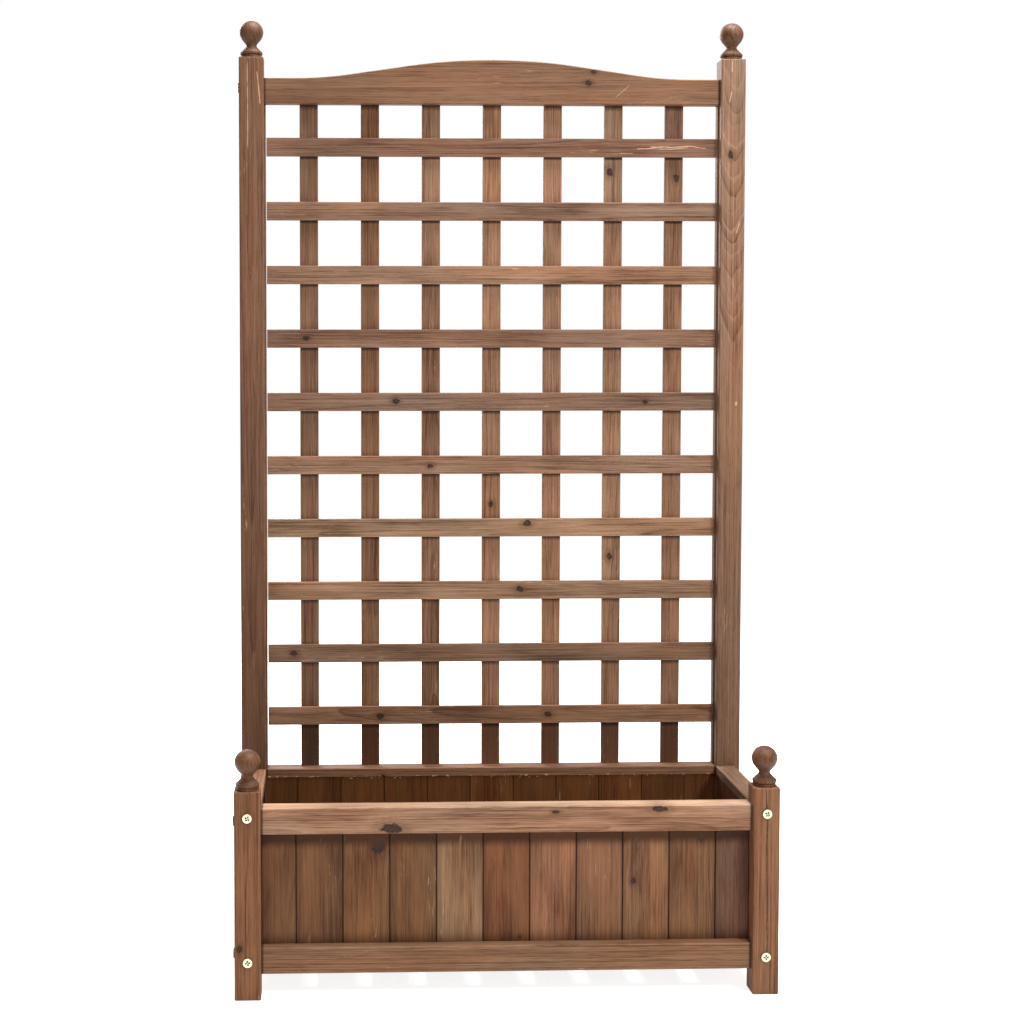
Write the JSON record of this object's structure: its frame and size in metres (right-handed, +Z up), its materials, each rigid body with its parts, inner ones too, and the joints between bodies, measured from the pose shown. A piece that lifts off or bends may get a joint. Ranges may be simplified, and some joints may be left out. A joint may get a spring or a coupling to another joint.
{
  "type": "planter box with trellis",
  "caption": "Raised wooden planter box with a tall gridded trellis behind it, arched top rail and ball finials, for soil and climbing plants.",
  "frame": {"origin": "on the ground, at the centre of the rectangle over the posts, under the middle of the object", "axes": "+X to the right along the box as the front is faced, +Y from the front to the trellis behind, +Z up"},
  "size_m": [0.7902, 0.2932, 1.4395],
  "materials": {
    "post_wood": "stained and oiled softwood, open grain with small knots, arrises worn lighter",
    "rail_wood": "stained and oiled softwood, open grain with small knots, arrises worn lighter",
    "arch_wood": "stained and oiled softwood, open grain with small knots, arrises worn lighter",
    "slat_wood": "stained and oiled softwood, open grain with small knots, arrises worn lighter",
    "batten_wood": "stained and oiled softwood, open grain with small knots, arrises worn lighter",
    "board_wood": "stained and oiled softwood, open grain with small knots, arrises worn lighter, one shade per board",
    "floor_wood": "stained softwood, rough sawn",
    "finial_wood": "turned and stained softwood, end grain on the crown",
    "bolt_brass": "pale zinc-brass plating, satin",
    "screw_steel": "plain steel"
  },
  "bodies": {
    "root": {"arched_rail_bolts": "bolt_brass", "arched_top_rail": "arch_wood", "finial_dowel_screws": "screw_steel", "finials": "finial_wood", "floor_bearer_front": "floor_wood", "floor_bearer_rear": "floor_wood", "floor_boards": "floor_wood", "front_board_01": "board_wood", "front_board_02": "board_wood", "front_board_03": "board_wood", "front_board_04": "board_wood", "front_board_05": "board_wood", "front_board_06": "board_wood", "front_board_07": "board_wood", "front_board_08": "board_wood", "front_board_09": "board_wood", "front_board_10": "board_wood", "front_board_11": "board_wood", "front_bottom_rail": "rail_wood", "front_post_left": "post_wood", "front_post_right": "post_wood", "front_top_rail": "rail_wood", "left_boards": "board_wood", "left_bottom_rail": "rail_wood", "left_top_rail": "rail_wood", "long_rail_bolts": "bolt_brass", "rear_boards": "board_wood", "rear_bottom_rail": "rail_wood", "rear_post_left": "post_wood", "rear_post_right": "post_wood", "rear_top_rail": "rail_wood", "right_boards": "board_wood", "right_bottom_rail": "rail_wood", "right_top_rail": "rail_wood", "side_rail_bolts": "bolt_brass", "trellis_batten_left": "batten_wood", "trellis_batten_right": "batten_wood", "trellis_column_1": "slat_wood", "trellis_column_2": "slat_wood", "trellis_column_3": "slat_wood", "trellis_column_4": "slat_wood", "trellis_column_5": "slat_wood", "trellis_column_6": "slat_wood", "trellis_column_7": "slat_wood", "trellis_row_01": "slat_wood", "trellis_row_02": "slat_wood", "trellis_row_03": "slat_wood", "trellis_row_04": "slat_wood", "trellis_row_05": "slat_wood", "trellis_row_06": "slat_wood", "trellis_row_07": "slat_wood", "trellis_row_08": "slat_wood", "trellis_row_09": "slat_wood", "trellis_row_10": "slat_wood"}
  },
  "joints": []
}
